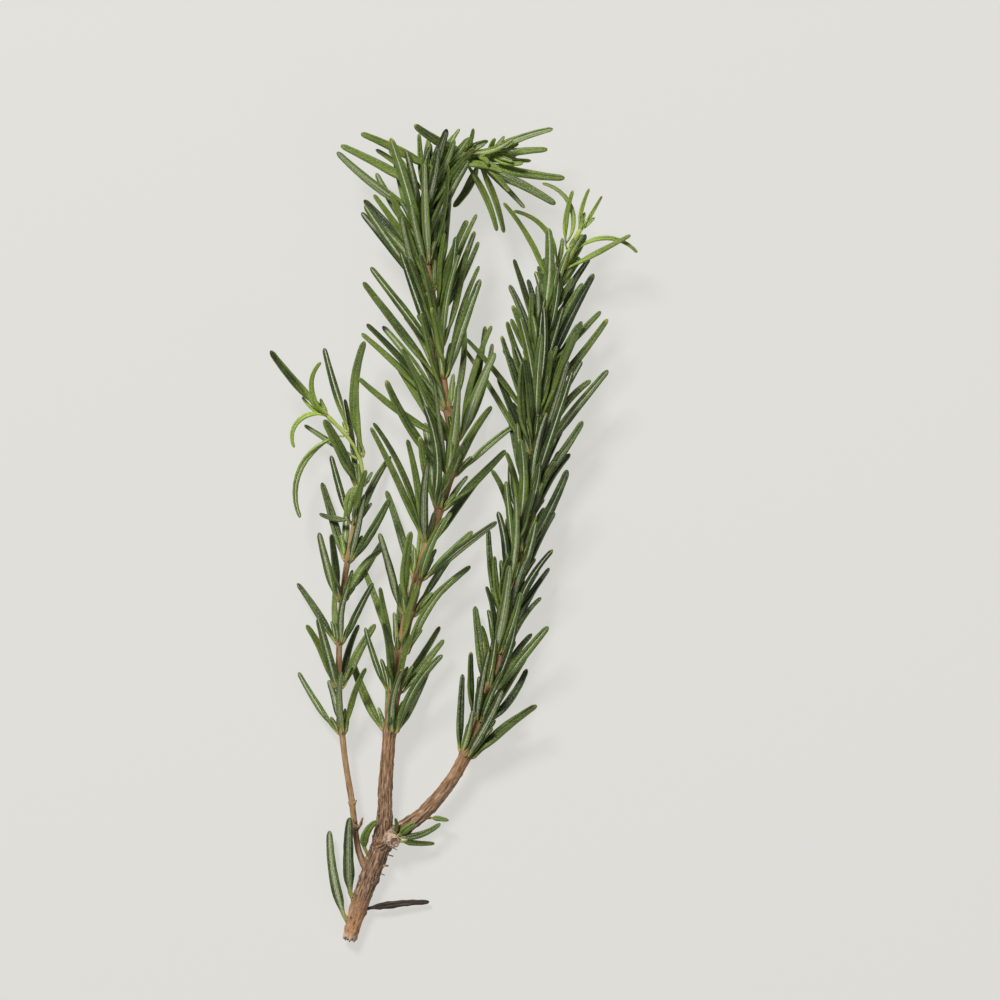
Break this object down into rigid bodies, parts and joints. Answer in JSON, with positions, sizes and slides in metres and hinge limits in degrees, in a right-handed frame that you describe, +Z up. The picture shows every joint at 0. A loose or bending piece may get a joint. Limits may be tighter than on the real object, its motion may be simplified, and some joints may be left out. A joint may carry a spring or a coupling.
{
  "type": "rosemary sprig",
  "caption": "Cut sprig of rosemary lying on a surface: a forked woody stem with whorls of narrow evergreen leaves and pale growing tips.",
  "frame": {"origin": "bottom centre of the sprig's box, on the surface that it lies on", "axes": "+Y along the sprig from the cut end towards the growing tips, +Z up from the surface, +X to the right as seen from above"},
  "size_m": [0.074, 0.1652, 0.0196],
  "materials": {
    "bark": "fibrous brown bark, greener towards the tips",
    "leaf": "satin dark green above, pale felt below",
    "young_leaf": "satin yellow-green",
    "dried_leaf": "matt blackish brown, shrivelled"
  },
  "bodies": {
    "root": {"base_leaf_lower": "leaf", "base_leaf_upper": "leaf", "curled_leaf": "leaf", "dried_leaf": "dried_leaf", "far_leaf": "leaf", "leaves_knob_01": "leaf", "leaves_main_01": "leaf", "leaves_main_02": "leaf", "leaves_main_03": "leaf", "leaves_main_04": "leaf", "leaves_main_05": "leaf", "leaves_main_06": "leaf", "leaves_main_07": "leaf", "leaves_main_08": "leaf", "leaves_main_09": "leaf", "leaves_main_10": "leaf", "leaves_main_11": "leaf", "leaves_main_12": "leaf", "leaves_main_13": "leaf", "leaves_main_14": "leaf", "leaves_main_15": "leaf", "leaves_main_16": "leaf", "leaves_main_17": "leaf", "leaves_main_18": "leaf", "leaves_main_19": "leaf", "leaves_main_20": "leaf", "leaves_main_21": "leaf", "leaves_main_22": "leaf", "leaves_main_23": "leaf", "leaves_right_01": "leaf", "leaves_right_02": "leaf", "leaves_right_03": "leaf", "leaves_right_04": "leaf", "leaves_right_05": "leaf", "leaves_right_06": "leaf", "leaves_right_07": "leaf", "leaves_right_08": "leaf", "leaves_right_09": "leaf", "leaves_right_10": "leaf", "leaves_right_11": "leaf", "leaves_right_12": "leaf", "leaves_right_13": "leaf", "leaves_right_14": "leaf", "leaves_right_15": "leaf", "leaves_right_16": "leaf", "leaves_right_17": "young_leaf", "leaves_right_18": "young_leaf", "leaves_right_19": "young_leaf", "leaves_twig_01": "leaf", "leaves_twig_02": "leaf", "leaves_twig_03": "leaf", "leaves_twig_04": "leaf", "leaves_twig_05": "leaf", "leaves_twig_06": "leaf", "leaves_twig_07": "leaf", "leaves_twig_08": "leaf", "leaves_twig_09": "young_leaf", "leaves_twig_10": "young_leaf", "stem": "bark"}
  },
  "joints": []
}
